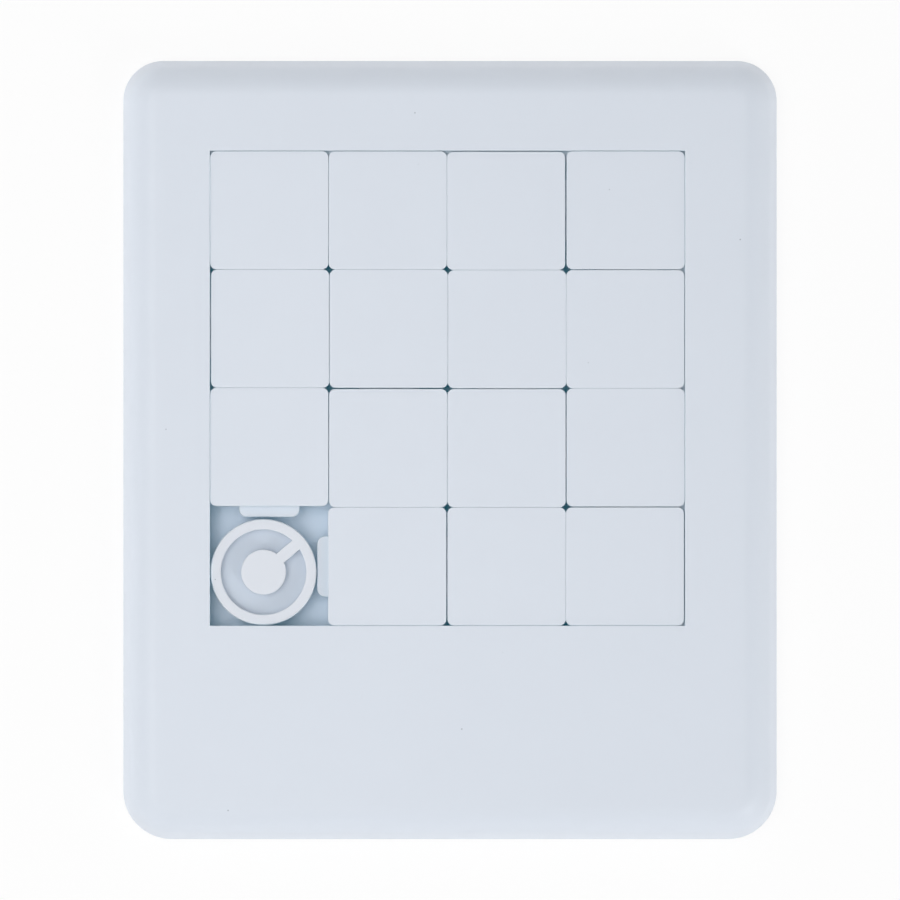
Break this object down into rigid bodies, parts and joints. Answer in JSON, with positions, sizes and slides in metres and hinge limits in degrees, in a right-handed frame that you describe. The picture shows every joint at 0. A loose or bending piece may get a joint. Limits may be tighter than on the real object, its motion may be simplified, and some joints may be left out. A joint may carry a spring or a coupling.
{
  "type": "sliding puzzle",
  "caption": "Flat sliding tile puzzle: a rounded moulded frame, blank square tiles that interlock by tongues and grooves, and a round spacer plug in the empty cell.",
  "frame": {"origin": "on the resting face, under the middle of the frame's outline", "axes": "+X along the tile rows to the right, +Y up the tile columns, +Z out of the tile tops"},
  "size_m": [0.07, 0.0834, 0.005],
  "materials": {
    "frame_plastic": "satin moulded, pale bluish white",
    "back_plate_plastic": "satin moulded, pale bluish white",
    "tile_plastic": "satin moulded, pale bluish white",
    "plug_plastic": "satin moulded, pale bluish white"
  },
  "bodies": {
    "tray": {"frame": "frame_plastic", "back_plate": "back_plate_plastic", "tile_row1_col1": "tile_plastic", "tile_row1_col2": "tile_plastic", "tile_row1_col3": "tile_plastic", "tile_row1_col4": "tile_plastic", "tile_row2_col1": "tile_plastic", "tile_row2_col2": "tile_plastic", "tile_row2_col3": "tile_plastic", "tile_row2_col4": "tile_plastic", "tile_row3_col1": "tile_plastic", "tile_row3_col2": "tile_plastic", "tile_row3_col3": "tile_plastic", "tile_row3_col4": "tile_plastic"},
    "row4_second_tile": {"tile_row4_col2": "tile_plastic"},
    "row4_third_tile": {"tile_row4_col3": "tile_plastic"},
    "row4_last_tile": {"tile_row4_col4": "tile_plastic"},
    "spacer": {"spacer_plug": "plug_plastic"}
  },
  "joints": [
    {"name": "bottom_row_slide", "type": "slide", "parent": "tray", "child": "row4_last_tile", "axis": [-1, 0, 0], "range_m": [0, 0.01258]},
    {"name": "third_tile_slide", "type": "slide", "parent": "tray", "child": "row4_third_tile", "axis": [-1, 0, 0], "range_m": [0, 0.01258]},
    {"name": "second_tile_slide", "type": "slide", "parent": "tray", "child": "row4_second_tile", "axis": [-1, 0, 0], "range_m": [0, 0.01258]},
    {"name": "spacer_lift", "type": "slide", "parent": "tray", "child": "spacer", "axis": [0, 0, 1], "range_m": [0, 0.0629]}
  ],
  "couplings": [
    {"joint": "third_tile_slide", "follows": "bottom_row_slide", "ratio": 1},
    {"joint": "second_tile_slide", "follows": "bottom_row_slide", "ratio": 1},
    {"joint": "spacer_lift", "follows": "bottom_row_slide", "ratio": 5}
  ]
}
